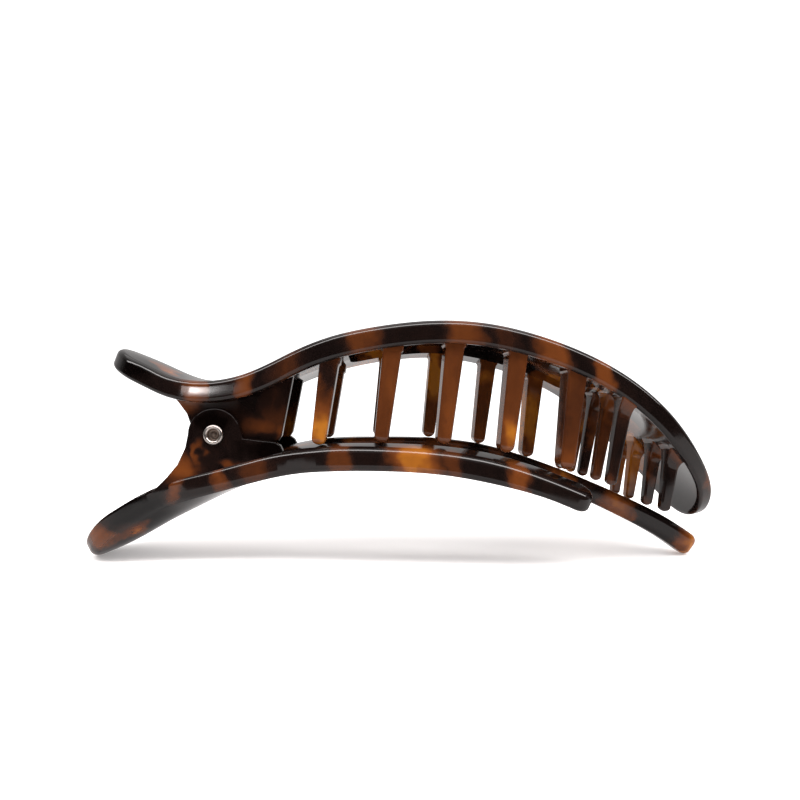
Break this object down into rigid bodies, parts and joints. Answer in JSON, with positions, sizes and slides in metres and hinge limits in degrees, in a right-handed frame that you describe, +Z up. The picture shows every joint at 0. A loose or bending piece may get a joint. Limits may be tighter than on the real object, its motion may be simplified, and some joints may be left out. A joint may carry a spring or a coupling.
{
  "type": "flat hair clip",
  "caption": "Flat curved hair clip: an arched toothed jaw hinged over a pronged lower jaw, sprung shut, opened by two finger levers.",
  "frame": {"origin": "on the surface that the clip stands on, below the middle of its box", "axes": "+X towards the closed tip, +Y across the clip, +Z up; the finger levers are at -X"},
  "size_m": [0.1252, 0.032, 0.0474],
  "materials": {
    "upper_shell": "polished, dark brown and amber tortoiseshell pattern",
    "lower_shell": "polished, dark brown and amber tortoiseshell pattern",
    "rivet": "nickel-plated, rolled lip",
    "spring": "bright spring wire"
  },
  "bodies": {
    "lower": {"lower_jaw": "lower_shell", "hinge_rivet": "rivet", "torsion_spring": "spring"},
    "upper": {"upper_jaw": "upper_shell"}
  },
  "joints": [
    {"name": "jaw_hinge", "type": "hinge", "parent": "lower", "child": "upper", "pos_m": [-0.0344, 0, 0.0253], "axis": [0, -1, 0], "range_deg": [0, 45], "stiffness_Nm_per_rad": 0.25, "springref_deg": -34.38}
  ]
}
